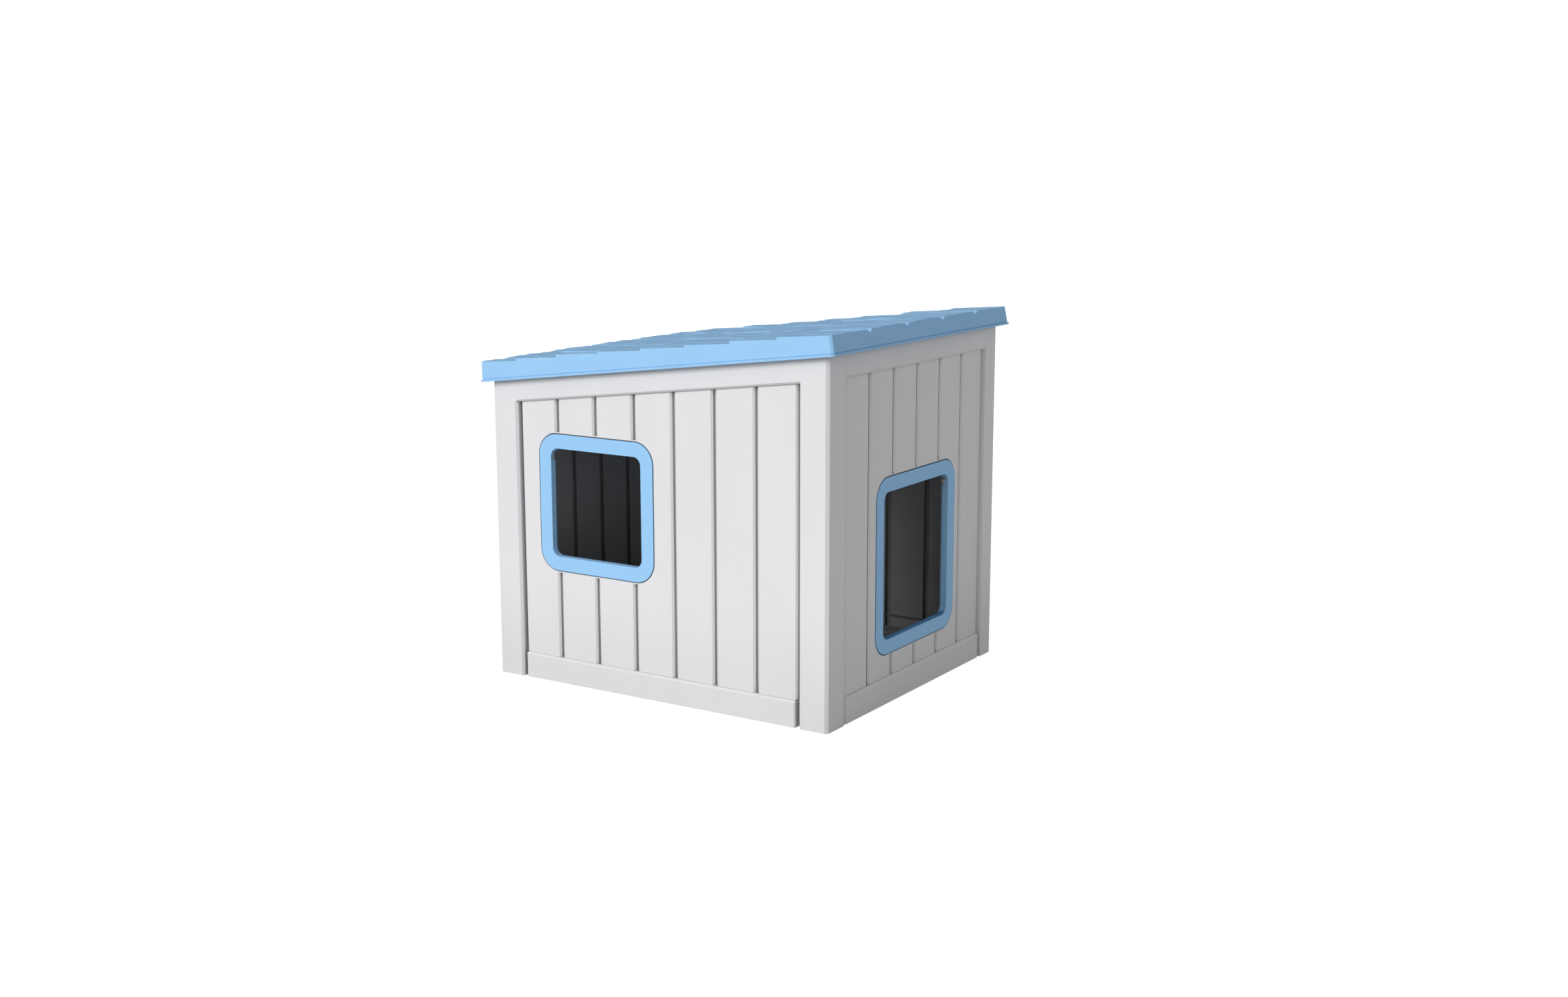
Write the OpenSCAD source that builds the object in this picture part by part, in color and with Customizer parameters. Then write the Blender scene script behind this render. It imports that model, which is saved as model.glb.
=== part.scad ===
// Outdoor cat house of moulded resin: planked walls, a shingled pent roof that lifts off,
// a framed door in the front wall and a framed window in the left wall, each with a clear
// flap. Front is -Y, the window side is -X, and the roof falls towards +Y.

/* [House] */
// Width over the front wall
house_w = 475.5; // [440:0.5:600]
// Depth over the side walls
house_d = 550; // [500:0.5:700]
// Height of the wall tops at the front face
front_h = 510; // [470:1:600]
// Fall of the roof towards the back, in degrees
roof_pitch = 7; // [4:0.5:10]

/* [Walls] */
// Depth of the plank faces behind the faces of posts and rails
plank_recess = 5.5; // [3:0.5:7]
// Thickness of a plank
plank_t = 11; // [10:0.5:14]
// Pitch of the grooves between planks on the side walls
side_pitch = 65.5; // [60:0.1:66]
// Centre of the first side groove, from the edge of the wide post
side_first = 5.3; // [5:0.1:9]
// Pitch of the grooves between planks on the front and back walls
end_pitch = 65.3; // [60:0.1:65.8]
// Centre of the first front groove, from the edge of the panel
end_first = 5.5; // [5:0.1:9]
// Width of the slot in a groove
slot_w = 4.2; // [3.5:0.1:7]
// Depth of a groove below the plank face
slot_depth = 6; // [4:0.5:6.5]
// Bevel on the edges of planks and rails
edge_bevel = 2.6; // [1:0.1:3]
// Width of the shallow channels on the inner face
inner_channel_w = 9.5; // [7:0.5:12]
// Depth of the shallow channels on the inner face
inner_channel_depth = 4.5; // [1:0.5:5]
// Distance of the channels of a side wall from its grooves
side_channel_shift = 10; // [0:0.5:12]
// Distance of the channels of an end wall from its grooves
end_channel_shift = 7; // [0:0.5:12]
// Visible height of the top rails, down from the wall tops
top_rail_h = 51.7; // [46:0.1:60]
// Height of the base rails
base_rail_h = 36; // [30:0.5:45]
// Set-back of the base rails behind the posts
base_rail_inset = 1.2; // [0.6:0.1:3]
// Gap between a base rail and a post, from the foot of the post's bevel
rail_gap = 4.9; // [2.5:0.1:5]
// Bevel down the ends of the base rails
rail_end = 1.8; // [0.5:0.1:2.5]
// Radius of the rail corners
rail_corner_r = 2; // [1:0.5:7]

/* [Corner posts] */
// Width of the wide post on a side panel
wide_post_w = 41.5; // [38:0.5:46]
// Width of the narrow post on a side panel
narrow_post_w = 40.5; // [37:0.5:46]
// Reach of the wide post round the corner
wide_return_w = 44; // [40:0.5:48]
// Reach of the narrow post round the corner
narrow_return_w = 34.2; // [34:0.1:48]
// Chamfer on the outer corners
corner_chamfer = 4; // [2:0.5:6]
// Bevel down the inner edge of the narrow post on a side wall
post_bevel = 3.2; // [2:0.1:4]
// Reach of the end panels behind the corner posts
lap_w = 14; // [12:0.5:16]
// Open seam between panels
seam_gap = 0.3; // [0.2:0.05:0.5]
// Bevel along both edges of a seam
seam_bevel = 0.8; // [0.4:0.1:1.5]

/* [Window] */
// Clear width of the window
window_w = 154; // [130:0.5:175]
// Clear height of the window
window_h = 153; // [130:0.5:165]
// Centre of the window behind the middle of the house
window_y = 99.5; // [60:0.5:105]
// Height of the window centre
window_z = 258.5; // [220:0.5:290]
// Width of the window frame flange
window_flange_w = 20; // [18:0.5:24]

/* [Door] */
// Clear width of the doorway
door_w = 184; // [160:0.5:200]
// Clear height of the doorway
door_h = 204; // [180:0.5:220]
// Centre of the door to the right of the middle of the house
door_x = 9; // [-4:0.5:14]
// Height of the door centre
door_z = 190; // [178:0.5:215]
// Width of the door frame flange
door_flange_w = 20; // [18:0.5:24]

/* [Frames] */
// Inner corner radius of both openings
opening_r = 12; // [8:0.5:18]
// Thickness of the flanges
flange_t = 3; // [2.5:0.5:4]
// Height of the flanges above the plank faces
flange_proud = 0.5; // [0.3:0.1:2]
// Gap round a flange in its pocket
pocket_gap = 1.5; // [0.6:0.1:2]
// Width of the trench under the edge of a flange
trench_w = 2; // [1:0.1:3]
// Plain border between a flange and the grooves
land_w = 3; // [2:0.5:5]
// Wall of the tunnel through the panel
tunnel_t = 2.5; // [2:0.1:3]
// Depth of the tunnel from the flange face
tunnel_depth = 10; // [9.5:0.5:11]
// Gap between tunnel and panel
tunnel_gap = 0.5; // [0.3:0.1:1]
// Height of the hinge notches at the top of the tunnel
notch_h = 17; // [14:0.5:20]
// Depth of the hinge notches from the back of the tunnel
notch_depth = 5.5; // [4.5:0.1:6]
// Thickness of the rings that clamp the frames from inside
ring_t = 3; // [2.5:0.5:4]
// Set-back of a ring opening outside the clear opening
ring_back = 6.5; // [5:0.5:8]
// Diameter of the screw posts on the frames
boss_d = 8; // [7:0.5:9]

/* [Flaps] */
// Thickness of the clear flaps
flap_t = 2; // [1.5:0.1:2.5]
// Gap between a flap and the sides of its tunnel
flap_side_gap = 2; // [1.5:0.1:4]
// Gap under a flap
flap_foot_gap = 3; // [2:0.5:8]
// Height of a flap above its hinge line
flap_top = 5.5; // [3:0.5:6]
// Diameter of the hinge pins
pin_d = 3; // [2.6:0.1:3.4]
// Running gap of a pin in its clip, on the radius
pin_gap = 0.1; // [0.05:0.01:0.2]
// Height of a hinge clip
clip_h = 16.5; // [10:0.5:16.5]
// Width of a hinge clip
clip_w = 6; // [5:0.5:7]

/* [Screws] */
// Diameter of the screw shanks
screw_d = 3; // [2.5:0.1:3.5]
// Diameter of the screw heads
head_d = 6; // [5:0.5:7]
// Height of the screw heads
head_h = 1.8; // [1.5:0.1:2.5]
// Length of the frame screws
frame_screw_l = 11.5; // [10:0.5:12]
// Length of the corner screws
corner_screw_l = 12.5; // [10:0.5:14]
// Height of the lowest corner screws
corner_screw_z = 60; // [50:1:90]
// Screws up each corner seam
corner_screw_count = 3; // [2:1:4]

/* [Floor] */
// Height of the raised border of the floor
border_h = 20; // [18:0.5:26]
// Width of the raised border
border_w = 25; // [20:1:40]
// Height of the floor inside the border
floor_h = 16; // [14:0.5:17]
// Width of the foot band round the underside
foot_w = 14; // [10:1:25]
// Height of the foot band and of the feet inside it
foot_h = 2.5; // [1.5:0.1:3]
// Diameter of the round feet
foot_d = 30; // [20:1:40]
// Spacing of the drain channels in the floor
drain_pitch = 65; // [50:1:90]
// Width of the drain channels
drain_w = 7; // [5:0.5:10]
// Depth of the drain channels
drain_depth = 1.5; // [1:0.1:2]
// Length of the snap tabs on the floor tray
tab_l = 30; // [20:1:40]
// Thickness of the snap tabs
tab_t = 4; // [3:0.5:5]
// Reach of the snap tabs into the walls
tab_reach = 7; // [5:0.5:9]
// Height of the middle of the snap tabs
tab_z = 10; // [7:0.5:11]

/* [Roof] */
// Overhang of the roof lip at each side
side_overhang = 12; // [10:0.5:25]
// Overhang of the roof lip at front and back
end_overhang = 13.5; // [11:0.5:25]
// Reach of the skirt and lip below the wall tops
skirt_drop = 20; // [15:0.5:28]
// Thickness of the skirt
skirt_t = 3; // [2.5:0.5:4]
// Projection of the lip from the skirt
lip_out = 1.1; // [1:0.1:3]
// Height of the lip
lip_h = 3; // [2:0.1:5]
// Height of the crease above the lip
crease_h = 1; // [0.6:0.1:2]
// Depth of the crease
crease_depth = 0.8; // [0.4:0.1:1.2]
// Draft of the skirt, in degrees
skirt_draft = 3.5; // [1:0.5:5]
// Chamfer down the corners of the skirt
skirt_chamfer = 2.8; // [1.5:0.1:4]
// Thickness of the plate under the shingles
plate_t = 2; // [1.8:0.1:4]
// Gap between the roof and the wall tops
roof_gap = 0.2; // [0.1:0.05:0.4]
// Depth of the ribs that locate the roof inside the walls
locator_depth = 12; // [8:0.5:14]
// Gap between those ribs and the walls
locator_gap = 1; // [0.6:0.1:2]
// Depth of the stiffening ribs under the roof
roof_rib_depth = 8; // [5:0.5:11]
// Thickness of the ribs under the roof
rib_t = 3; // [2:0.5:4]

/* [Shingles] */
// Courses of shingles down the roof
courses = 8; // [6:1:8]
// Length of the top course
first_course = 82; // [70:0.5:90]
// Length that the other courses show
course_pitch = 71.8; // [68:0.1:80]
// Width of a shingle with its joint
shingle_w = 100; // [80:1:120]
// First joint of the top course, from the left edge
first_joint = 98; // [60:1:110]
// Shift of the joints from one course to the next
joint_stagger = 50; // [40:1:60]
// Narrowest shingle at a side edge
edge_shingle = 12; // [10:1:20]
// Thickness of a shingle at its upper end
shingle_t = 4; // [3:0.1:5]
// Mean rise of a shingle towards its lower end
shingle_rise = 3.1; // [2:0.1:4]
// Crown across a shingle
shingle_crown = 1.2; // [0.5:0.1:2.5]
// Flat strips across a shingle, like the grain of split timber
grain_strips = 6; // [4:1:10]
// Rise and fall of those strips
grain_depth = 0.5; // [0.2:0.1:0.8]
// Width of the bevel beside a joint
joint_bevel = 5; // [2:0.1:7]
// Width of a joint at its bottom
joint_w = 1.6; // [1:0.1:3]

/* [Hidden] */

$fn = 48;
// Overshoot of a cut past the face it opens
over = 1;
wall_color = [0.89, 0.89, 0.9];
roof_color = [0.6, 0.8, 0.97];
clear_color = [0.85, 0.93, 1, 0.3];
steel_color = [0.75, 0.76, 0.78];

wall_t = plank_recess + plank_t;
// Depth of the groove bottoms, where the end panels lap behind the corner posts
lap_y = plank_recess + slot_depth;
// Height of the wall-top plane over the middle of the house
seat_mid = front_h - tan(roof_pitch) * house_d / 2;

// Plank fields between the corner posts, along the length of a wall seen from outside
side_x0 = -house_d / 2 + narrow_post_w;
side_x1 = house_d / 2 - wide_post_w;
end_x0 = -house_w / 2 + wide_return_w;
end_x1 = house_w / 2 - narrow_return_w;
side_planks = round((side_x1 - side_x0 - side_first) / side_pitch);
end_planks = round((end_x1 - end_x0 - end_first) / end_pitch);
side_grooves = [for (i = [side_planks:-1:0]) side_x1 - side_first - i * side_pitch];
end_grooves = [for (i = [0:end_planks]) end_x0 + end_first + i * end_pitch];

// Depths of a frame, from the post faces inwards
flange_y = plank_recess - flange_proud;
tunnel_end = flange_y + tunnel_depth;
post_end = wall_t - seam_gap;
wall_margin = tunnel_t + tunnel_gap;

// Hinge line of a flap: depth behind the post faces and drop below the top of the opening
hinge_y = tunnel_end - 1.5;
hinge_drop = notch_h / 2;
clip_gap = 0.2;
clip_start = hinge_y - pin_d / 2 - 1.1;

// Tilted frame of the roof: X across, Y down the slope, Z off the wall tops
// Both sizes are those of the foot of the skirt, above the lip
skirt_w = house_w + 2 * (side_overhang - lip_out);
skirt_l = house_d / cos(roof_pitch) + 2 * (end_overhang - lip_out);
shingle_top = plate_t + shingle_t + shingle_rise;
// Length of a course that lies under the one before
course_tuck = 3;
// Shift down the slope that puts the roof's outline over the middle of the house
roof_shift = (skirt_drop * sin(roof_pitch) + lip_out * cos(roof_pitch)
    - shingle_top * sin(roof_pitch)) / (2 * cos(roof_pitch));

// Height of the wall-top plane at a place along the house
function seat_z(y) = seat_mid - y * tan(roof_pitch);

// Frames of reference

// The four walls are drawn alike: X to the right as seen from outside, Y inwards, Z up
module on_front() {
    translate([0, -house_d / 2, 0]) children();
}

module on_back() {
    rotate([0, 0, 180]) on_front() children();
}

module on_left() {
    translate([-house_w / 2, 0, 0]) rotate([0, 0, -90]) children();
}

module on_right() {
    rotate([0, 0, 180]) on_left() children();
}

module at_window() {
    on_left() translate([-window_y, 0, window_z]) children();
}

module at_door() {
    on_front() translate([door_x, 0, door_z]) children();
}

module on_seat() {
    translate([0, 0, seat_mid]) rotate([-roof_pitch, 0, 0]) children();
}

// Everything below the wall-top plane
module below_seat() {
    on_seat() translate([-house_w, -house_d, -2 * house_d])
        cube([2 * house_w, 2 * house_d, 2 * house_d]);
}

// Shared shapes

// Stands a flat outline up in a wall, t thick inwards from depth y
module upright(y, t) {
    translate([0, y + t, 0]) rotate([90, 0, 0]) linear_extrude(t) children();
}

// Runs an outline given in Y and Z along X
module along_x(length) {
    rotate([90, 0, 90]) linear_extrude(length) children();
}

// Turns what stands on Z so that it looks into the house
module facing_in() {
    rotate([-90, 0, 0]) children();
}

module rounded_rect(w, h, r) {
    union() {
        square([w - 2 * r, h], center = true);
        square([w, h - 2 * r], center = true);
        for (x = [-1, 1], y = [-1, 1])
            translate([x * (w / 2 - r), y * (h / 2 - r)]) circle(r);
    }
}

// Pan-head screw with a cross recess, its seat at the origin and its head up
module pan_screw(length) {
    recess_w = head_d / 8;
    recess_l = head_d * 0.55;
    difference() {
        union() {
            cylinder(d = head_d, h = head_h);
            translate([0, 0, -length]) cylinder(d = screw_d, h = length + head_h / 2);
        }
        for (turn = [0, 90])
            rotate([0, 0, turn]) translate([-recess_l / 2, -recess_w / 2, head_h * 0.45])
                cube([recess_l, recess_w, head_h]);
    }
}

// Planked faces. A field of planks lies between x0 and x1, under a top rail whose lower edge
// runs from z0 to z1, and above the base rail.

module field_outline(x0, x1, z0, z1, foot) {
    polygon([[x0, foot], [x1, foot], [x1, z1], [x0, z0]]);
}

// Slot with bevelled edges between two planks
module groove(x, height) {
    half = slot_w / 2;
    edge = half + edge_bevel;
    face = plank_recess;
    translate([x, 0, base_rail_h]) linear_extrude(height) polygon([
        [-edge, face - over], [edge, face - over], [edge, face], [half, face + edge_bevel],
        [half, lap_y], [-half, lap_y], [-half, face + edge_bevel], [-edge, face]]);
}

// Bevel along the edge of a rail at depth y; dir is 1 on a lower edge and -1 on an upper one
module rail_bevel(x0, x1, z0, z1, y, dir) {
    slope = atan((z1 - z0) / (x1 - x0));
    size = edge_bevel + over;
    intersection() {
        translate([x0, y, z0]) rotate([0, -slope, 0]) translate([-2 * size, 0, 0])
            along_x((x1 - x0) / cos(slope) + 4 * size)
                polygon([[-over, -dir * over], [size, -dir * over], [-over, dir * size]]);
        upright(y - 2 * over, wall_t) translate([x0, 0]) square([x1 - x0, 2 * house_d]);
    }
}

// Rounds a rail corner at x, z. The rail lies towards sx and sz.
module corner_round(x, z, sx, sz, depth) {
    r = rail_corner_r;
    upright(-over, depth + over) difference() {
        translate([x - (sx > 0 ? over : r), z - (sz > 0 ? over : r)]) square(r + over);
        translate([x + sx * r, z + sz * r]) circle(r);
        translate([x + (sx > 0 ? r : -r - over), z - r - over]) square([over, 2 * r + 2 * over]);
    }
}

// Bevel down an end of the base rail at x. The rail lies towards dir.
module rail_end_bevel(x, dir) {
    size = rail_end + over;
    translate([x, base_rail_inset, -2 * over]) linear_extrude(base_rail_h + 3 * over) polygon([
        [-over * dir, -over], [size * dir, -over], [-over * dir, size]]);
}

// What the outer face of a panel loses. bevel is the bevel of the post at x0. Children are the
// plain borders round an opening, where the grooves stop.
module plank_cuts(x0, x1, z0, z1, grooves, bevel) {
    a = x0 + bevel;
    za = z0 + bevel * (z1 - z0) / (x1 - x0);
    rail_a = a + rail_gap;
    rail_b = x1 - bevel - rail_gap;
    first = grooves[0] + slot_w / 2;
    last = grooves[len(grooves) - 1] - slot_w / 2;
    tall = max(z0, z1);
    // sunk face of the planks
    upright(-over, plank_recess + over) field_outline(a, x1, za, z1, base_rail_h);
    // rails: set-back base rail and bevelled edges
    translate([a, -over, -over]) cube([x1 - a, base_rail_inset + over, base_rail_h + 2 * over]);
    rail_bevel(a, x1, base_rail_h, base_rail_h, base_rail_inset, -1);
    rail_bevel(a, x1, za, z1, 0, 1);
    for (end = [[rail_a, 1], [rail_b, -1]]) {
        corner_round(end[0], base_rail_h, end[1], -1, lap_y);
        rail_end_bevel(end[0], end[1]);
    }
    if (bevel > 0) post_bevel_cut(x0, x1, z0, z1, bevel);
    // grooves
    difference() {
        intersection() {
            upright(-over, wall_t) field_outline(a, x1, za, z1, base_rail_h);
            for (x = grooves) groove(x, tall);
        }
        children();
    }
    // open channels beside the posts
    intersection() {
        upright(-over, lap_y + over) field_outline(a, x1, za, z1, -over);
        union() {
            translate([a - over, -2 * over, base_rail_h]) cube([first - a + over, wall_t, tall]);
            translate([last, -2 * over, base_rail_h]) cube([x1 - last + over, wall_t, tall]);
            translate([a - over, -2 * over, -2 * over])
                cube([rail_a - a + over, wall_t, base_rail_h + 3 * over]);
            translate([rail_b, -2 * over, -2 * over])
                cube([x1 - rail_b + over, wall_t, base_rail_h + 3 * over]);
        }
    }
}

// Bevel down the inner edge of the post at x0, up to the top rail
module post_bevel_cut(x0, x1, z0, z1, bevel) {
    far = bevel + over;
    intersection() {
        upright(-over, wall_t) field_outline(x0, x1, z0, z1, -over);
        translate([x0, 0, -2 * over]) linear_extrude(2 * house_d) polygon([
            [-over, -over], [bevel, bevel], [far, bevel], [far, -over]]);
    }
}

// What the inner face of a panel loses: a shallow channel beside each groove, a line behind
// the base rail and the slots for the floor tabs. Children are the borders round an opening,
// where the channels stop.
module inner_cuts(x0, x1, grooves, shift, length) {
    half = inner_channel_w / 2;
    bottom = wall_t - inner_channel_depth;
    difference() {
        for (x = grooves)
            if (x + shift > x0 + half && x + shift < x1 - half)
                translate([x + shift, 0, -over]) linear_extrude(2 * house_d) polygon([
                    [-half, wall_t + over], [-half, wall_t], [1 - half, bottom],
                    [half - 1, bottom], [half, wall_t], [half, wall_t + over]]);
        children();
    }
    translate([x0, wall_t, base_rail_h]) along_x(x1 - x0)
        polygon([[over, -edge_bevel], [over, edge_bevel], [0, edge_bevel],
            [-edge_bevel, 0], [0, -edge_bevel]]);
    for (x = tab_places(length))
        translate([x, wall_t, tab_z]) rotate([180, 0, 0]) floor_tab(seam_gap);
}

// Snap tab of the floor tray, pointing out along Y, with a margin when it is cut as a slot
module floor_tab(margin) {
    translate([-tab_l / 2 - margin, -over, -tab_t / 2 - margin])
        cube([tab_l + 2 * margin, tab_reach + over + margin, tab_t + 2 * margin]);
}

function tab_places(length) = [-length / 4, length / 4];

// Frames of door and window, drawn round the centre of a clear opening w wide and h high

module opening_outline(w, h, margin) {
    rounded_rect(w + 2 * margin, h + 2 * margin, opening_r + margin);
}

module flange_outline(w, h, flange_w, margin) {
    edge = flange_w + margin;
    rounded_rect(w + 2 * edge, h + 2 * edge, opening_r + 0.9 * flange_w + margin);
}

// The four screw posts stand beside the corners of the opening
module at_screws(w, h, y) {
    for (x = [-1, 1], z = [-1, 1])
        translate([x * (w / 2 + boss_d), y, z * (h / 2 + boss_d + 1)]) facing_in() children();
}

// The two hinge clips stand beside the tunnel at the hinge line
module at_clips(w, h) {
    for (side = [-1, 1])
        translate([side * (w / 2 + wall_margin + clip_w / 2), 0, h / 2 - hinge_drop]) children();
}

// What a panel loses for a frame
module frame_cuts(w, h, flange_w) {
    upright(-over, wall_t + 2 * over) opening_outline(w, h, wall_margin);
    upright(-over, flange_y + flange_t + over) flange_outline(w, h, flange_w, pocket_gap);
    // trench that keeps the gap round the flange dark and lets water run off
    upright(-over, lap_y + over) difference() {
        flange_outline(w, h, flange_w, pocket_gap);
        flange_outline(w, h, flange_w, -trench_w);
    }
    at_screws(w, h, 0) cylinder(d = boss_d + 2 * seam_gap, h = wall_t + over);
    at_clips(w, h)
        translate([-clip_w / 2 - over, tunnel_end - notch_depth, -clip_h / 2 - clip_gap])
            cube([clip_w + 2 * over, wall_t, clip_h + 2 * clip_gap]);
}

module frame(w, h, flange_w) {
    difference() {
        union() {
            upright(flange_y, flange_t) flange_outline(w, h, flange_w, 0);
            upright(flange_y, tunnel_depth) opening_outline(w, h, tunnel_t);
            at_screws(w, h, flange_y + flange_t / 2)
                cylinder(d = boss_d, h = post_end - flange_y - flange_t / 2);
        }
        upright(flange_y - over, tunnel_depth + 2 * over) opening_outline(w, h, 0);
        // notches that let the flap reach its clips
        for (side = [-1, 1])
            translate([side * (w / 2 + tunnel_t / 2) - tunnel_t, tunnel_end - notch_depth,
                h / 2 - notch_h])
                cube([2 * tunnel_t, notch_depth + over, notch_h]);
        at_screws(w, h, wall_t + ring_t - frame_screw_l - seam_gap)
            cylinder(d = screw_d + 2 * clip_gap, h = frame_screw_l);
    }
}

// Ring that clamps a frame from inside and shuts the hinge clips in
module inner_ring(w, h, flange_w) {
    difference() {
        upright(wall_t, ring_t) flange_outline(w, h, flange_w, 0);
        upright(wall_t - over, ring_t + 2 * over) opening_outline(w, h, ring_back);
        at_screws(w, h, wall_t - over)
            cylinder(d = screw_d + 2 * clip_gap, h = ring_t + 2 * over);
    }
}

module frame_screws(w, h) {
    at_screws(w, h, wall_t + ring_t) pan_screw(frame_screw_l);
}

// Bearing blocks, bored for the pins of the flap
module hinge_clips(w, h) {
    at_clips(w, h) difference() {
        translate([-clip_w / 2, clip_start, -clip_h / 2])
            cube([clip_w, wall_t - clip_gap - clip_start, clip_h]);
        translate([0, hinge_y, 0]) rotate([0, 90, 0])
            cylinder(d = pin_d + 2 * pin_gap, h = 2 * clip_w, center = true);
    }
}

// Clear flap with a stub pin at each side of its top
module flap(w, h) {
    flap_w = w - 2 * flap_side_gap;
    top = h / 2 - hinge_drop + flap_top;
    foot = flap_foot_gap - h / 2;
    corner_r = opening_r - flap_side_gap;
    root = flap_w / 2 - corner_r;
    reach = w / 2 + wall_margin + clip_w - 1;
    union() {
        upright(hinge_y - flap_t / 2, flap_t) translate([0, (top + foot) / 2])
            rounded_rect(flap_w, top - foot, corner_r);
        for (side = [-1, 1])
            translate([side * (root + reach) / 2, hinge_y, h / 2 - hinge_drop])
                rotate([0, 90, 0]) cylinder(d = pin_d, h = reach - root, center = true);
    }
}

// Walls

// Heights of the screws up a corner seam whose wall tops are at a height
function seam_screws(top) = [for (i = [0:corner_screw_count - 1])
    corner_screw_z + i * (top - 80 - corner_screw_z) / (corner_screw_count - 1)];

// Side panel with its two corner posts. rise is 1 where the roof rises to the right and -1
// where it falls. Children 0 are borders that the grooves spare, children 1 are cuts.
module side_panel(rise) {
    half = house_d / 2;
    lap = lap_y - seam_gap;
    ch = corner_chamfer;
    e = seam_bevel;
    z0 = seat_z(-rise * side_x0) - top_rail_h;
    z1 = seat_z(-rise * side_x1) - top_rail_h;
    difference() {
        linear_extrude(2 * house_d) polygon([
            [-half, ch], [ch - half, 0], [half - ch, 0], [half, ch], [half, wide_return_w - e],
            [half - e, wide_return_w], [half - lap, wide_return_w], [half - lap, wall_t],
            [lap - half, wall_t], [lap - half, narrow_return_w], [e - half, narrow_return_w],
            [-half, narrow_return_w - e]]);
        plank_cuts(side_x0, side_x1, z0, z1, side_grooves, post_bevel)
            if ($children > 0) children(0);
        inner_cuts(side_x0, side_x1, side_grooves, side_channel_shift, house_d)
            if ($children > 0) children(0);
        if ($children > 1) children(1);
        // pilot holes for the corner screws
        for (z = seam_screws(seat_z(-rise * half)))
            translate([half - lap - over, wide_return_w - lap_w / 2, z]) rotate([0, 90, 0])
                pilot_hole();
        for (z = seam_screws(seat_z(rise * half)))
            translate([lap + over - half, narrow_return_w - lap_w / 2, z]) rotate([0, -90, 0])
                pilot_hole();
    }
}

module pilot_hole() {
    cylinder(d = screw_d + 2 * clip_gap, h = corner_screw_l - wall_t + lap_y + over);
}

// End panel, which laps behind the corner posts at both sides. rear is 1 on the back wall.
module end_panel(rear) {
    top = seat_z(rear * house_d / 2) - top_rail_h;
    left = end_x0 + seam_gap;
    right = end_x1 - seam_gap;
    e = seam_bevel;
    difference() {
        linear_extrude(2 * house_d) polygon([
            [left, e], [left + e, 0], [right - e, 0], [right, e], [right, lap_y],
            [end_x1 + lap_w, lap_y], [end_x1 + lap_w, wall_t], [end_x0 - lap_w, wall_t],
            [end_x0 - lap_w, lap_y], [left, lap_y]]);
        plank_cuts(end_x0, end_x1, top, top, end_grooves, 0)
            if ($children > 0) children(0);
        corner_round(end_x0, top, 1, 1, plank_recess);
        corner_round(end_x1, top, -1, 1, plank_recess);
        inner_cuts(end_x0, end_x1, end_grooves, end_channel_shift, house_w)
            if ($children > 0) children(0);
        if ($children > 1) children(1);
        // clearance holes for the corner screws
        for (x = [end_x0, end_x1 + lap_w], z = seam_screws(seat_z(rear * house_d / 2)))
            translate([x - lap_w / 2, lap_y - over, z]) facing_in()
                cylinder(d = screw_d + 2 * clip_gap, h = wall_t);
    }
}

module left_side_panel() {
    color(wall_color) intersection() {
        on_left() side_panel(1) {
            translate([-window_y, 0, window_z]) upright(-over, wall_t + 2 * over)
                flange_outline(window_w, window_h, window_flange_w, land_w);
            translate([-window_y, 0, window_z]) frame_cuts(window_w, window_h, window_flange_w);
        }
        below_seat();
    }
}

module right_side_panel() {
    color(wall_color) intersection() {
        on_right() side_panel(-1);
        below_seat();
    }
}

module front_panel() {
    color(wall_color) intersection() {
        on_front() end_panel(-1) {
            translate([door_x, 0, door_z]) upright(-over, wall_t + 2 * over)
                flange_outline(door_w, door_h, door_flange_w, land_w);
            translate([door_x, 0, door_z]) frame_cuts(door_w, door_h, door_flange_w);
        }
        below_seat();
    }
}

module back_panel() {
    color(wall_color) intersection() {
        on_back() end_panel(1);
        below_seat();
    }
}

// The corner screws go from inside through the laps of the end panels into the posts
module corner_screws() {
    color(steel_color) {
        on_front() seam_screw_rows(seat_z(-house_d / 2));
        on_back() seam_screw_rows(seat_z(house_d / 2));
    }
}

module seam_screw_rows(top) {
    for (x = [end_x0, end_x1 + lap_w], z = seam_screws(top))
        translate([x - lap_w / 2, wall_t, z]) facing_in() pan_screw(corner_screw_l);
}

// Window and door

module window_frame() {
    color(roof_color) at_window() frame(window_w, window_h, window_flange_w);
}

module window_inner_ring() {
    color(wall_color) at_window() inner_ring(window_w, window_h, window_flange_w);
}

module window_hinge_clips() {
    color(wall_color) at_window() hinge_clips(window_w, window_h);
}

module window_flap() {
    color(clear_color) at_window() flap(window_w, window_h);
}

module window_frame_screws() {
    color(steel_color) at_window() frame_screws(window_w, window_h);
}

module door_frame() {
    color(roof_color) at_door() frame(door_w, door_h, door_flange_w);
}

module door_inner_ring() {
    color(wall_color) at_door() inner_ring(door_w, door_h, door_flange_w);
}

module door_hinge_clips() {
    color(wall_color) at_door() hinge_clips(door_w, door_h);
}

module door_flap() {
    color(clear_color) at_door() flap(door_w, door_h);
}

module door_frame_screws() {
    color(steel_color) at_door() frame_screws(door_w, door_h);
}

// Floor

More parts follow.
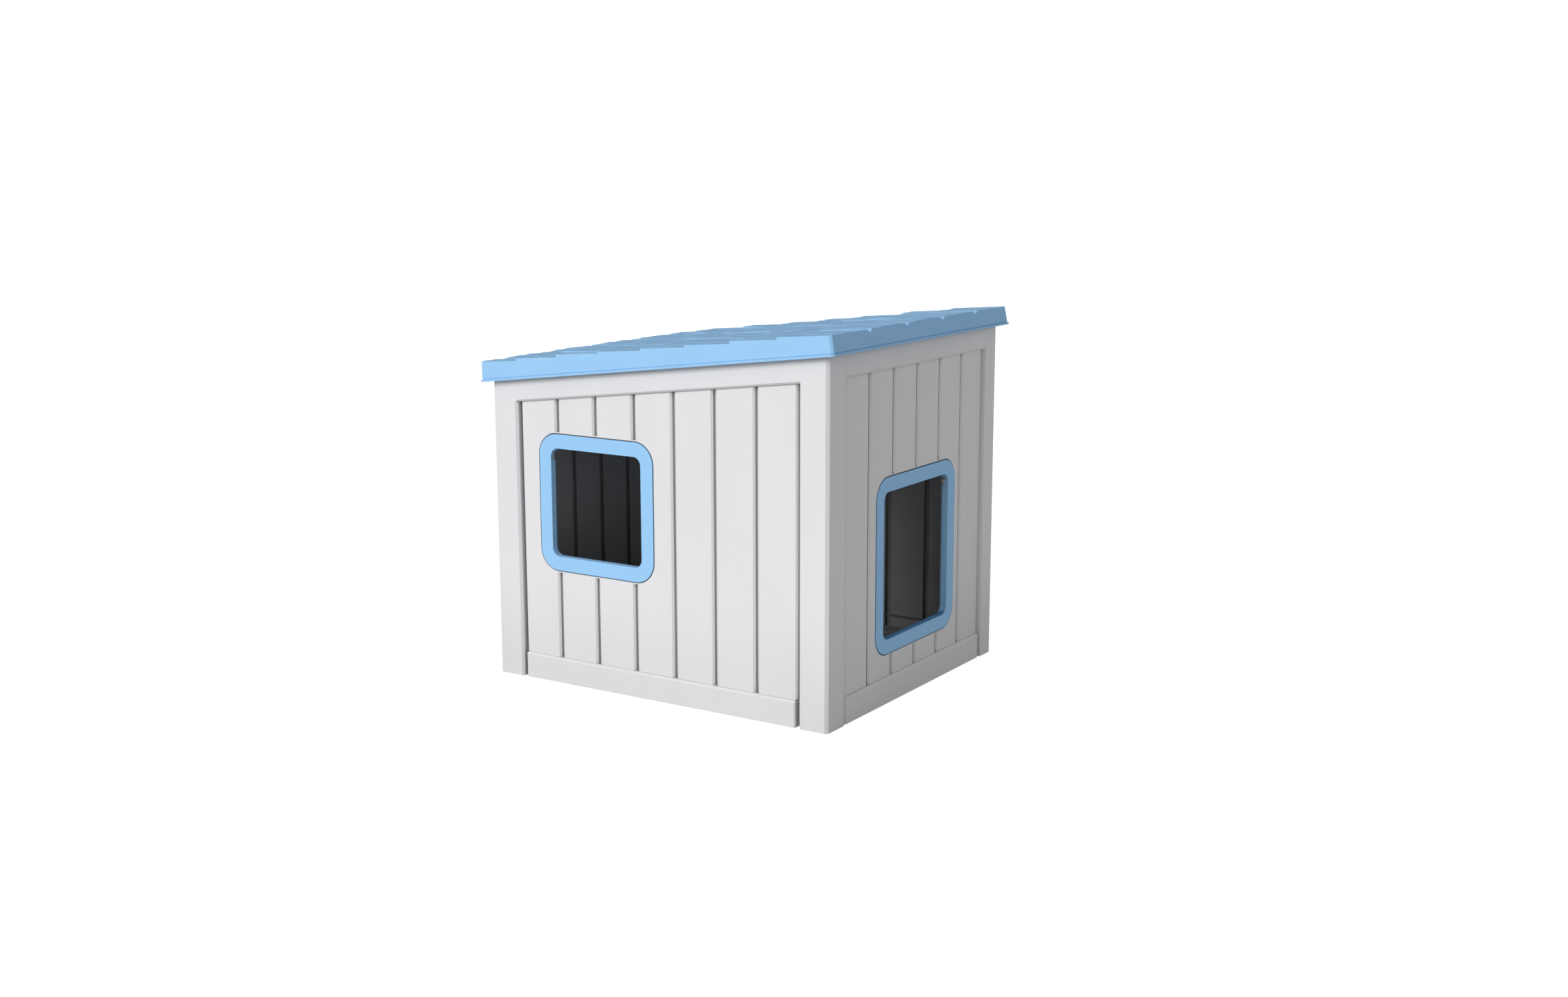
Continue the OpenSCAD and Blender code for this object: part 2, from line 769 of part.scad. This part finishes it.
// Twin-wall tray with a raised border, drain channels, a foot band, round feet and snap tabs
// into the walls
module floor_tray() {
    half_x = house_w / 2 - wall_t - seam_gap;
    half_y = house_d / 2 - wall_t - seam_gap;
    inner_x = half_x - border_w;
    inner_y = half_y - border_w;
    under_x = half_x - foot_w;
    under_y = half_y - foot_w;
    drains = floor(inner_x / drain_pitch);
    color(wall_color) union() {
        difference() {
            translate([-half_x, -half_y, 0]) cube([2 * half_x, 2 * half_y, border_h]);
            translate([-inner_x, -inner_y, floor_h]) cube([2 * inner_x, 2 * inner_y, border_h]);
            translate([-under_x, -under_y, -over]) cube([2 * under_x, 2 * under_y, foot_h + over]);
            for (i = [-drains:drains])
                translate([i * drain_pitch, 0, floor_h]) rotate([90, 0, 0])
                    linear_extrude(2 * inner_y - 2 * drain_w, center = true) polygon([
                        [-drain_w / 2, over], [-drain_w / 2, 0], [1 - drain_w / 2, -drain_depth],
                        [drain_w / 2 - 1, -drain_depth], [drain_w / 2, 0], [drain_w / 2, over]]);
        }
        for (x = [-0.5, 0, 0.5], y = [-0.5, 0, 0.5])
            translate([x * under_x * 1.2, y * under_y * 1.2, 0])
                cylinder(d = foot_d, h = foot_h + over);
        for (turn = [0, 180]) rotate([0, 0, turn]) {
            for (x = tab_places(house_w)) translate([x, half_y, tab_z]) floor_tab(0);
            for (y = tab_places(house_d))
                translate([half_x, y, tab_z]) rotate([0, 0, -90]) floor_tab(0);
        }
    }
}

// Roof

// Outline at the foot of the skirt, with its corners chamfered
module roof_outline(margin) {
    x = skirt_w / 2 + margin;
    y = skirt_l / 2 + margin;
    c = margin < -skirt_chamfer ? 0.1 : skirt_chamfer;
    translate([0, roof_shift]) polygon([[-x, c - y], [c - x, -y], [x - c, -y], [x, c - y],
        [x, y - c], [x - c, y], [c - x, y], [-x, y - c]]);
}

// Slab between two drafted faces, half is its half width at the foot of the skirt
module drafted_slab(half, lean) {
    rise = skirt_drop + 2 * shingle_top;
    top = half - rise * tan(skirt_draft) * lean;
    rotate([90, 0, 90]) linear_extrude(4 * house_d, center = true)
        polygon([[-half, 0], [half, 0], [top, rise], [-top, rise]]);
}

// Everything inside the four drafted faces of the skirt and its chamfered corners
module skirt_block() {
    corner = (skirt_w / 2 + skirt_l / 2 - skirt_chamfer) / sqrt(2);
    translate([0, roof_shift, -skirt_drop]) intersection() {
        drafted_slab(skirt_l / 2, 1);
        rotate([0, 0, 90]) drafted_slab(skirt_w / 2, 1);
        rotate([0, 0, 45]) drafted_slab(corner, sqrt(2));
        rotate([0, 0, -45]) drafted_slab(corner, sqrt(2));
    }
}

// Courses follow each other down the slope from the front edge, all at one tilt
function course_start(c) = c == 0 ? 0 : first_course + (c - 1) * course_pitch;
function course_length(c) = (c == courses - 1 ? skirt_l + over : course_start(c + 1)) - course_start(c);
function course_t(c) = shingle_t + 0.15 * sin(140 * c);

// Edges of the shingles in a course, from beyond one side of the roof to beyond the other
function course_joints(c) = [for (u = [(first_joint + c * joint_stagger) % shingle_w : shingle_w : skirt_w])
    if (u > edge_shingle && u < skirt_w - edge_shingle) u];
function course_edges(c) = concat([-2 * joint_bevel], course_joints(c), [skirt_w + 2 * joint_bevel]);

// Section of shingle i in course c: bevelled beside the joints, crowned, and split into strips
// of uneven width and height
module shingle_section(width, top, c, i) {
    half = (width - joint_w) / 2;
    flat = half - min(joint_bevel, width / 4);
    crown = shingle_crown * (0.5 + 0.5 * sin(97 * c + 61 * i));
    strips = [for (k = [0:grain_strips]) let (t = 2 * k / grain_strips - 1, end = abs(t) == 1)
        [flat * (t + (end ? 0 : 0.5 / grain_strips * sin(79 * k + 41 * c + 23 * i))),
            top + crown * (1 - t * t) + grain_depth * sin(151 * k + 67 * c + 97 * i)]];
    polygon(concat([[half, plate_t], [half, -shingle_t], [-half, -shingle_t], [-half, plate_t]],
        strips));
}

// Section across a course, with the bed that its shingles stand on
module course_section(c) {
    edges = course_edges(c);
    union() {
        translate([-3 * joint_bevel, -2 * shingle_t])
            square([skirt_w + 6 * joint_bevel, 2 * shingle_t + plate_t]);
        for (i = [0:len(edges) - 2])
            translate([(edges[i] + edges[i + 1]) / 2, 0])
                shingle_section(edges[i + 1] - edges[i], plate_t + course_t(c), c, i);
    }
}

// Each course rises down the slope and starts under the end of the one before
module shingles() {
    tilt = atan(shingle_rise / course_pitch);
    translate([-skirt_w / 2, roof_shift - skirt_l / 2, 0]) rotate([tilt, 0, 0])
        for (c = [0:courses - 1])
            translate([0, course_start(c) * cos(tilt) + course_length(c), -course_start(c) * sin(tilt)])
                rotate([90, 0, 0]) linear_extrude(course_length(c) + course_tuck) course_section(c);
}

// Ribs under the roof: a frame that locates it inside the walls, and stiffeners
module roof_ribs() {
    reach_x = house_w / 2 - wall_t - locator_gap;
    reach_y = house_d / 2 - wall_t - locator_gap;
    front = -(reach_y - locator_depth * sin(roof_pitch)) / cos(roof_pitch);
    back = reach_y / cos(roof_pitch);
    top = plate_t - over;
    for (x = [-reach_x, reach_x - rib_t])
        translate([x, front, -locator_depth]) cube([rib_t, back - front, locator_depth + top]);
    for (y = [front, back - rib_t])
        translate([-reach_x, y, -locator_depth]) cube([2 * reach_x, rib_t, locator_depth + top]);
    for (x = [-0.5, 0, 0.5])
        translate([x * reach_x - rib_t / 2, front + over, -roof_rib_depth])
            cube([rib_t, back - front - 2 * over, roof_rib_depth + top]);
    for (y = [-0.5, 0, 0.5])
        translate([over - reach_x, y * reach_y - rib_t / 2, -roof_rib_depth])
            cube([2 * reach_x - 2 * over, rib_t, roof_rib_depth + top]);
}

module roof() {
    color(roof_color) on_seat() union() {
        difference() {
            union() {
                intersection() {
                    union() {
                        shingles();
                        translate([-house_w, -house_d, -2 * skirt_drop])
                            cube([2 * house_w, 2 * house_d, 2 * skirt_drop + plate_t]);
                    }
                    skirt_block();
                }
                translate([0, 0, -skirt_drop]) linear_extrude(lip_h) roof_outline(lip_out);
            }
            translate([0, 0, lip_h - skirt_drop]) linear_extrude(crease_h) difference() {
                roof_outline(2 * lip_out);
                roof_outline(-crease_depth);
            }
            translate([0, 0, -skirt_drop - over]) linear_extrude(skirt_drop + over + roof_gap)
                roof_outline(-skirt_t);
        }
        roof_ribs();
    }
}

// Assembly

left_side_panel();
right_side_panel();
front_panel();
back_panel();
corner_screws();
floor_tray();
roof();
window_frame();
window_inner_ring();
window_hinge_clips();
window_flap();
window_frame_screws();
door_frame();
door_inner_ring();
door_hinge_clips();
door_flap();
door_frame_screws();
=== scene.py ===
from math import radians

import bpy
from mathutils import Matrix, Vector


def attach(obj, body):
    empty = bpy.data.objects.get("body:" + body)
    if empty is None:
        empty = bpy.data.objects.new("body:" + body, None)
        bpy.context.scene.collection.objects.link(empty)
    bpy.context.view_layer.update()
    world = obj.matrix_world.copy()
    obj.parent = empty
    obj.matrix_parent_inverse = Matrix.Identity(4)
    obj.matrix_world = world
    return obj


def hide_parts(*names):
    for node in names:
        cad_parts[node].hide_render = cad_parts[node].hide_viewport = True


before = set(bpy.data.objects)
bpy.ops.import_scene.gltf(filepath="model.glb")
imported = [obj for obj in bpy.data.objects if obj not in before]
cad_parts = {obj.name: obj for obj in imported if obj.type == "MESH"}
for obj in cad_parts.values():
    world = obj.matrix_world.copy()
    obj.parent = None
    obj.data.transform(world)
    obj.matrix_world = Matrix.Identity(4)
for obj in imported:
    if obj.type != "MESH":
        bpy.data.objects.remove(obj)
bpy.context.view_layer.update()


# Planked wall panels
# Twin-wall panels moulded in light grey polypropylene, satin smooth to the eye. Each side panel
# carries two corner posts, the end panels lap behind them, and screws hold the four together.

HOUSE_W, HOUSE_D = 0.4755, 0.550
# the inner skin starts just below the slots of the outer one, which are 11.5 mm deep
SKIN_DEPTH = 0.01175
# the inside is a darker grey than the outside: painted shade for the dim inside of the house
INSIDE_SHADED_GREY = "#D6D6D8"


def linear(code):
    """An sRGB hex colour as the linear values that Blender's sockets take."""
    values = [int(code[i:i + 2], 16) / 255 for i in (1, 3, 5)]
    return [v / 12.92 if v <= 0.04045 else ((v + 0.055) / 1.055) ** 2.4 for v in values] + [1.0]


def add(tree, kind, settings=(), **inputs):
    """Adds a node, sets its own settings, and gives each input a value or a link."""
    node = tree.nodes.new("ShaderNode" + kind)
    for name, value in dict(settings).items():
        setattr(node, name, value)
    for name, value in inputs.items():
        # _6 is the seventh input, any other name is the input's own
        socket = node.inputs[int(name[1:]) if name[0] == "_" else name.replace("_", " ")]
        if isinstance(value, bpy.types.NodeSocket):
            tree.links.new(value, socket)
        else:
            socket.default_value = value
    return node


def new_material(name):
    """An empty node material and its node tree."""
    material = bpy.data.materials.new(name)
    material.use_nodes = True
    material.node_tree.nodes.clear()
    return material, material.node_tree


def dress(names, material):
    """Gives CAD nodes their real finish; their meshes stay as they are."""
    for name in names:
        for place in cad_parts[name].material_slots:
            place.material = material


wall_resin, tree = new_material("satin_polypropylene_wall")
where = add(tree, "TexCoord").outputs["Object"]
# flow marks of the moulding, 60 mm wide and 200 mm tall, are only just lighter and darker
flow = add(tree, "TexNoise", Scale=16.0, Detail=3.0, Roughness=0.5,
           Vector=add(tree, "Mapping", Vector=where, Scale=(1, 1, 0.3)).outputs[0])
outside = add(tree, "Mix", {"data_type": "RGBA"}, _0=flow.outputs["Fac"],
              _6=linear("#E2E2E4"), _7=linear("#E9E9EB"))
# what lies deeper than the skin on both axes is inside
across = add(tree, "SeparateXYZ", Vector=where)
depths = []
for socket, half in (("X", HOUSE_W / 2), ("Y", HOUSE_D / 2)):
    size = add(tree, "Math", {"operation": "ABSOLUTE"}, _0=across.outputs[socket])
    depths.append(add(tree, "Math", {"operation": "LESS_THAN"},
                      _0=size.outputs[0], _1=half - SKIN_DEPTH))
inside = add(tree, "Math", {"operation": "MULTIPLY"},
             _0=depths[0].outputs[0], _1=depths[1].outputs[0])
# inside faces take the darker grey, painted shade
skin = add(tree, "Mix", {"data_type": "RGBA"}, _0=inside.outputs[0],
           _6=outside.outputs[2], _7=linear(INSIDE_SHADED_GREY))
# painted shade in the panel's own slots, and more of it in the channels inside
hollow = add(tree, "AmbientOcclusion", {"samples": 8, "only_local": True}, Distance=0.012)
outer = add(tree, "MapRange", Value=hollow.outputs["AO"],
            From_Min=0.3, From_Max=0.75, To_Min=0.62, To_Max=1.0)
inner = add(tree, "MapRange", Value=hollow.outputs["AO"],
            From_Min=0.6, From_Max=0.95, To_Min=0.45, To_Max=1.0)
# inside, painted shade halves the colour up to 100 mm and fades out between 100 and 280 mm up
inner_low_shade = add(tree, "MapRange", {"interpolation_type": "SMOOTHSTEP"}, Value=across.outputs["Z"],
             From_Min=0.10, From_Max=0.28, To_Min=0.5, To_Max=1.0)
inner = add(tree, "Math", {"operation": "MULTIPLY"}, _0=inner.outputs[0], _1=inner_low_shade.outputs[0])
share = add(tree, "Mix", {"data_type": "FLOAT"}, _0=inside.outputs[0],
            _2=outer.outputs[0], _3=inner.outputs[0])
# painted shade darkens the lowest 170 mm, most at the floor
floor_shade = add(tree, "MapRange", {"interpolation_type": "SMOOTHSTEP"}, Value=across.outputs["Z"],
             From_Min=-0.03, From_Max=0.17, To_Min=0.87, To_Max=1.0)
lit_share = add(tree, "Math", {"operation": "MULTIPLY"}, _0=share.outputs[0], _1=floor_shade.outputs[0])
# the wall colour darkened by all the painted shade above
shaded_skin = add(tree, "Mix", {"data_type": "RGBA"}, _0=lit_share.outputs[0],
            _6=linear("#000000"), _7=skin.outputs[2])
# spark-eroded mould texture, grain of about 0.7 mm, and edges rounded by the same
grain = add(tree, "TexNoise", Vector=where, Scale=1400.0, Detail=2.0, Roughness=0.6)
relief = add(tree, "Bump", Height=grain.outputs["Fac"], Strength=0.12, Distance=0.0003,
             Normal=add(tree, "Bevel", {"samples": 4}, Radius=0.0007).outputs[0])
body = add(tree, "BsdfPrincipled", Base_Color=shaded_skin.outputs[2], Roughness=0.45, IOR=1.49,
           Specular_IOR_Level=0.2, Normal=relief.outputs[0])
add(tree, "OutputMaterial", Surface=body.outputs[0])
dress(["left_side_panel", "right_side_panel", "front_panel", "back_panel"], wall_resin)


# Right side panel
# The same moulding as the left one, turned round and without a window. Its inner channels lie
# to the front of its grooves: a copy of the panel is filled there, and they are cut again.

INNER_FACE, CHANNEL_FLOOR = 0.22125, 0.22575
# the old channels lie within this distance of the middle, clear of the posts
CHANNEL_ZONE = 0.235
CHANNEL_W, CHANNEL_DRAFT = 0.0095, 0.001
CHANNEL_PITCH, FIRST_CHANNEL, CHANNELS = 0.0655, -0.1733, 7
# a cutter stands from below the panel to above it
CUTTER_MIDDLE, CUTTER_HEIGHT = 0.3, 0.8
# V-shaped line along the top of the base rail, its tool turned by 45 degrees
RAIL_LINE_Z, RAIL_LINE_DEPTH, RAIL_LINE_ENDS = 0.036, 0.0026, (-0.2345, 0.2335)
RAIL_LINE_TURN = 0.785398
# distances in metres below which points are one, or a face counts as on its level
ONE_POINT, ON_LEVEL = 1e-6, 0.0001
# angle in radians below which two faces count as one flat face
FLAT = 0.002

bpy.ops.object.select_all(action="DESELECT")
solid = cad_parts["right_side_panel"]
solid.select_set(True)
bpy.context.view_layer.objects.active = solid
bpy.ops.object.duplicate()
right_wall = bpy.context.object
right_wall.name = "right_side_panel_skin"
bpy.ops.object.mode_set(mode="EDIT")
bpy.ops.mesh.select_all(action="SELECT")
bpy.ops.mesh.remove_doubles(threshold=ONE_POINT)
bpy.ops.object.mode_set(mode="OBJECT")
# the old channels and rail line are filled by bringing their floors out to the inner face
for vertex in right_wall.data.vertices:
    sunk = INNER_FACE < vertex.co.x < CHANNEL_FLOOR + ON_LEVEL
    if sunk and abs(vertex.co.y) < CHANNEL_ZONE:
        vertex.co.x = INNER_FACE
bpy.ops.object.mode_set(mode="EDIT")
bpy.ops.mesh.select_all(action="SELECT")
bpy.ops.mesh.dissolve_degenerate(threshold=ONE_POINT)
bpy.ops.mesh.select_all(action="SELECT")
bpy.ops.mesh.dissolve_limited(angle_limit=FLAT)
bpy.ops.object.mode_set(mode="OBJECT")


def cut_away(piece, cutter):
    """Cuts one object out of another and deletes it."""
    bpy.ops.object.select_all(action="DESELECT")
    piece.select_set(True)
    bpy.context.view_layer.objects.active = piece
    cut = piece.modifiers.new("cut", "BOOLEAN")
    cut.operation, cut.object = "DIFFERENCE", cutter
    bpy.ops.object.modifier_apply(modifier=cut.name)
    bpy.data.objects.remove(cutter)


depth = CHANNEL_FLOOR - INNER_FACE
for i in range(CHANNELS):
    middle = FIRST_CHANNEL + i * CHANNEL_PITCH
    bpy.ops.mesh.primitive_cube_add(size=1, location=(INNER_FACE, middle, CUTTER_MIDDLE),
                                    scale=(2 * depth, CHANNEL_W, CUTTER_HEIGHT))
    channel = bpy.context.object
    bpy.ops.object.transform_apply(location=True, rotation=True, scale=True)
    # the sides of a channel draw in towards its floor
    for vertex in channel.data.vertices:
        widen = CHANNEL_DRAFT if vertex.co.x < INNER_FACE else -CHANNEL_DRAFT
        vertex.co.y += widen if vertex.co.y > middle else -widen
    cut_away(right_wall, channel)

line_side = RAIL_LINE_DEPTH * 2 ** 0.5
line_start, line_end = RAIL_LINE_ENDS
bpy.ops.mesh.primitive_cube_add(size=1, rotation=(0, RAIL_LINE_TURN, 0),
                                location=(INNER_FACE, (line_start + line_end) / 2, RAIL_LINE_Z),
                                scale=(line_side, line_end - line_start, line_side))
rail_line = bpy.context.object
bpy.ops.object.transform_apply(location=True, rotation=True, scale=True)
cut_away(right_wall, rail_line)
right_wall.data.materials.clear()
right_wall.data.materials.append(wall_resin)
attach(right_wall, "house")
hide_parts("right_side_panel")


# Corner screws and frame screws
# Zinc-plated steel screws with pan heads, turned in from inside the house. They are bright, with
# the faint clouds of the plating.

zinc, tree = new_material("zinc_plated_steel_screw")
where = add(tree, "TexCoord").outputs["Object"]
# crystals of the plating, about 1 mm across
bloom = add(tree, "TexNoise", Vector=where, Scale=900.0, Detail=3.0)
shade = add(tree, "ValToRGB", Fac=bloom.outputs["Fac"])
dull, bright = shade.color_ramp.elements
dull.position, dull.color = 0.35, linear("#A9ABAE")
bright.position, bright.color = 0.65, linear("#D2D3D6")
body = add(tree, "BsdfPrincipled", Base_Color=shade.outputs[0], Metallic=1.0, Roughness=0.35)
add(tree, "OutputMaterial", Surface=body.outputs[0])
dress(["corner_screws", "window_frame_screws", "door_frame_screws"], zinc)


# Floor tray
# One grey polypropylene moulding with a raised border and shallow drain channels. It snaps
# into the walls with tabs and is a little dull from use.

floor_resin, tree = new_material("grey_polypropylene_floor")
where = add(tree, "TexCoord").outputs["Object"]
# patches of dust some 30 mm across, over a mould texture of about 0.8 mm
dust = add(tree, "TexNoise", Vector=where, Scale=30.0, Detail=4.0)
tone = add(tree, "Mix", {"data_type": "RGBA"}, _0=dust.outputs["Fac"],
           _6=linear("#85878A"), _7=linear("#8E9093"))
grain = add(tree, "TexNoise", Vector=where, Scale=1200.0, Detail=2.0)
relief = add(tree, "Bump", Height=grain.outputs["Fac"], Strength=0.2, Distance=0.0003)
body = add(tree, "BsdfPrincipled", Base_Color=tone.outputs[2], Roughness=0.5,
           Normal=relief.outputs[0])
add(tree, "OutputMaterial", Surface=body.outputs[0])
dress(["floor_tray"], floor_resin)


# Roof
# One light blue polypropylene moulding in the form of staggered shingles. Each shingle has a fine
# wood grain down the slope, cut into the mould, and the skirt round the roof is smooth.

ROOF_PITCH = radians(7)
# height of the roof's seat at the middle of the house
SEAT_MID = 0.4762

roof_resin, tree = new_material("blue_polypropylene_shingles")
where = add(tree, "TexCoord").outputs["Object"]
level = add(tree, "Mapping", {"vector_type": "POINT"}, Vector=where,
            Location=(0, 0, -SEAT_MID), Rotation=(ROOF_PITCH, 0, 0)).outputs[0]
down_slope = add(tree, "Mapping", Vector=level, Scale=(1, 0.05, 1)).outputs[0]
# grain lines about 1.5 mm apart and 30 mm long, over waves 17 mm wide and 80 mm long
lines = add(tree, "TexNoise", Vector=down_slope, Scale=650.0, Detail=3.0, Roughness=0.55)
waves = add(tree, "TexNoise", Scale=60.0, Detail=2.0,
            Vector=add(tree, "Mapping", Vector=level, Scale=(1, 0.2, 1)).outputs[0])
height = add(tree, "Math", {"operation": "MULTIPLY_ADD"},
             _0=waves.outputs["Fac"], _1=1.5, _2=lines.outputs["Fac"])
relief = add(tree, "Bump", Height=height.outputs[0], Strength=0.5, Distance=0.0006,
             Normal=add(tree, "Bevel", {"samples": 4}, Radius=0.0008).outputs[0])
tint = add(tree, "Mix", {"data_type": "RGBA"}, _0=waves.outputs["Fac"],
           _6=linear("#9ACAF4"), _7=linear("#A2D2FA"))
# painted shade in the grain, in streaks 60 mm long and 3 mm wide, on faces that point up and so
# not on the skirt, which makes the top darker than the skirt
streaks = add(tree, "TexNoise", Vector=down_slope, Scale=330.0, Detail=4.0, Roughness=0.7)
grain_shade = add(tree, "MapRange", Value=streaks.outputs["Fac"],
           From_Min=0.34, From_Max=0.62, To_Min=0.55, To_Max=1.0)
facing = add(tree, "SeparateXYZ", Vector=add(tree, "NewGeometry").outputs["True Normal"])
upward = add(tree, "MapRange", Value=facing.outputs["Z"], From_Min=0.6, From_Max=0.9)
top_shade = add(tree, "Mix", {"data_type": "FLOAT"}, _0=upward.outputs[0], _2=1.0, _3=grain_shade.outputs[0])
tint = add(tree, "Mix", {"data_type": "RGBA"}, _0=top_shade.outputs[0],
           _6=linear("#000000"), _7=tint.outputs[2])
body = add(tree, "BsdfPrincipled", Base_Color=tint.outputs[2], Roughness=0.7, IOR=1.49,
           Specular_IOR_Level=0.08, Normal=relief.outputs[0])
add(tree, "OutputMaterial", Surface=body.outputs[0])
dress(["roof"], roof_resin)


# Window and door frames
# Smooth blue polypropylene mouldings: a flange on the planks and a tunnel through the wall, with
# hinge notches at the top. They are clamped from inside by a ring and four screws.

# a height between the sill of the door and that of the window
DOOR_SILL_BELOW = 0.12

frame_resin, tree = new_material("blue_polypropylene_frame")
where = add(tree, "TexCoord").outputs["Object"]
# clouds of colour some 40 mm across
cloud = add(tree, "TexNoise", Vector=where, Scale=25.0, Detail=2.0)
tint = add(tree, "Mix", {"data_type": "RGBA"}, _0=cloud.outputs["Fac"],
           _6=linear("#9CCEF8"), _7=linear("#A0D1FB"))
# the door's sill, the only low face that points up, gets painted shade, darker and a deeper blue
facing = add(tree, "SeparateXYZ", Vector=add(tree, "NewGeometry").outputs["True Normal"])
upward = add(tree, "MapRange", Value=facing.outputs["Z"], From_Min=0.5, From_Max=0.9)
low = add(tree, "Math", {"operation": "LESS_THAN"}, _1=DOOR_SILL_BELOW,
          _0=add(tree, "SeparateXYZ", Vector=where).outputs["Z"])
sill = add(tree, "Math", {"operation": "MULTIPLY"}, _0=upward.outputs[0], _1=low.outputs[0])
tint = add(tree, "Mix", {"data_type": "RGBA", "blend_type": "MULTIPLY"}, _0=sill.outputs[0],
           _6=tint.outputs[2], _7=linear("#A2BACD"))
# shade in the tunnel and where the flange meets the planks
hollow = add(tree, "AmbientOcclusion", {"samples": 8}, Distance=0.02).outputs["AO"]
shade = add(tree, "MapRange", Value=hollow, From_Min=0.4, From_Max=0.9, To_Min=0.6, To_Max=1.0)
tint = add(tree, "Mix", {"data_type": "RGBA"}, _0=shade.outputs[0],
           _6=linear("#000000"), _7=tint.outputs[2])
# polished mould, with a grain of about 0.6 mm that hardly shows
grain = add(tree, "TexNoise", Vector=where, Scale=1600.0, Detail=1.0)
relief = add(tree, "Bump", Height=grain.outputs["Fac"], Strength=0.08, Distance=0.0002,
             Normal=add(tree, "Bevel", {"samples": 4}, Radius=0.0005).outputs[0])
body = add(tree, "BsdfPrincipled", Base_Color=tint.outputs[2], Roughness=0.45, IOR=1.49,
           Specular_IOR_Level=0.08, Normal=relief.outputs[0])
add(tree, "OutputMaterial", Surface=body.outputs[0])
dress(["window_frame", "door_frame"], frame_resin)


# Inner rings and hinge clips
# Mouldings in pale grey polypropylene, plain and smooth. The rings clamp the frames from inside,
# and the clips sit in the hinge notches and carry the pins of the flaps.

ring_resin, tree = new_material("grey_polypropylene_ring")
where = add(tree, "TexCoord").outputs["Object"]
# clouds of colour some 25 mm across
cloud = add(tree, "TexNoise", Vector=where, Scale=40.0, Detail=2.0)
tint = add(tree, "Mix", {"data_type": "RGBA"}, _0=cloud.outputs["Fac"],
           _6=linear("#DCDDDF"), _7=linear("#E6E7E9"))
body = add(tree, "BsdfPrincipled", Base_Color=tint.outputs[2], Roughness=0.42, IOR=1.49)
add(tree, "OutputMaterial", Surface=body.outputs[0])
dress(["window_inner_ring", "window_hinge_clips", "door_inner_ring", "door_hinge_clips"],
      ring_resin)


# Flaps
# Clear acrylic sheets, 2 mm thick, that hang by stub pins in the clips and swing both ways.
# They show only as a faint gloss over the dark inside.

clear, tree = new_material("clear_acrylic_flap")
where = add(tree, "TexCoord").outputs["Object"]
# rubbed patches some 20 mm across are a little less glossy
haze = add(tree, "TexNoise", Vector=where, Scale=45.0, Detail=3.0)
rough = add(tree, "MapRange", Value=haze.outputs["Fac"], To_Min=0.02, To_Max=0.06)
see = add(tree, "BsdfTransparent", Color=linear("#F9F9F9"))
gloss = add(tree, "BsdfGlossy", Color=linear("#FFFFFF"), Roughness=rough.outputs[0])
# far below the IOR of acrylic, because the photo shows almost no reflection on the flaps
edge = add(tree, "Fresnel", IOR=1.02)
mixed = add(tree, "MixShader", Fac=edge.outputs[0], _1=see.outputs[0], _2=gloss.outputs[0])
add(tree, "OutputMaterial", Surface=mixed.outputs[0])
dress(["window_flap", "door_flap"], clear)


# Studio
# White paper floor and white surroundings. A key lamp shines along the front wall onto the window
# side, a soft one from above that side helps it, and a weak low one lights the front wall evenly.

FLOOR_SIZE = 14
# the camera was fitted to the edges of the house: its place in metres, its lens in millimetres
CAMERA_PLACE = Vector((-2.2130, -1.4578, 0.7516))
CAMERA_AIM = Vector((0.8302, 0.5247, -0.1882))
FOCAL_LENGTH, SENSOR_WIDTH = 42.71, 36


def looked_at(tree):
    """1 for what the camera sees, straight, in a gloss or through the acrylic."""
    rays = add(tree, "LightPath").outputs
    mirrored = add(tree, "Math", {"operation": "MAXIMUM"},
                   _0=rays["Is Glossy Ray"], _1=rays["Is Transmission Ray"])
    return add(tree, "Math", {"operation": "MAXIMUM"},
               _0=rays["Is Camera Ray"], _1=mirrored.outputs[0]).outputs[0]


bpy.ops.object.select_all(action="DESELECT")
bpy.ops.mesh.primitive_plane_add(size=FLOOR_SIZE, location=(0, 0, 0))
floor = bpy.context.object
floor.name = "studio_floor"
bpy.ops.object.transform_apply(location=True, rotation=True, scale=True)
paper, tree = new_material("white_paper_floor")
matt = add(tree, "BsdfDiffuse", Color=linear("#B8B8B8"))
glow = add(tree, "Emission", Color=linear("#FFFFFF"), Strength=0.85)
lit = add(tree, "AddShader", _0=matt.outputs[0], _1=glow.outputs[0])
seen = add(tree, "MixShader", Fac=looked_at(tree), _1=matt.outputs[0], _2=lit.outputs[0])
add(tree, "OutputMaterial", Surface=seen.outputs[0])
floor.data.materials.append(paper)

world = bpy.data.worlds.new("studio")
bpy.context.scene.world = world
world.use_nodes = True
tree = world.node_tree
tree.nodes.clear()
# the surroundings light the house less than they seem to, so that its colours stay plain
strength = add(tree, "MapRange", Value=looked_at(tree), To_Min=0.3, To_Max=1.0)
sky = add(tree, "Background", Color=linear("#FFFFFF"), Strength=strength.outputs[0])
add(tree, "OutputWorld", Surface=sky.outputs[0])

# name, strength, width of the lamp as an angle in radians, and where it shines from
for name, energy, angle, towards in (("key", 1.82, 0.5, (-2.07, 0.6, 0.95)),
                                     ("window_light", 0.55, 1.6, (-1.9, 0.5, 1.5)),
                                     ("fill", 0.46, 1.2, (-0.3, -1.0, 0.12))):
    bpy.ops.object.light_add(type="SUN", location=towards)
    lamp = bpy.context.object
    lamp.name = name
    lamp.data.energy = energy
    lamp.data.angle = angle
    lamp.rotation_euler = Vector(towards).to_track_quat("Z", "Y").to_euler()

bpy.ops.object.camera_add(location=CAMERA_PLACE)
camera = bpy.context.object
camera.name = "camera"
camera.data.sensor_width = SENSOR_WIDTH
camera.data.lens = FOCAL_LENGTH
camera.data.clip_start = 0.05
camera.rotation_euler = CAMERA_AIM.to_track_quat("-Z", "Y").to_euler()
bpy.context.scene.camera = camera

bpy.context.scene.view_settings.view_transform = "Standard"
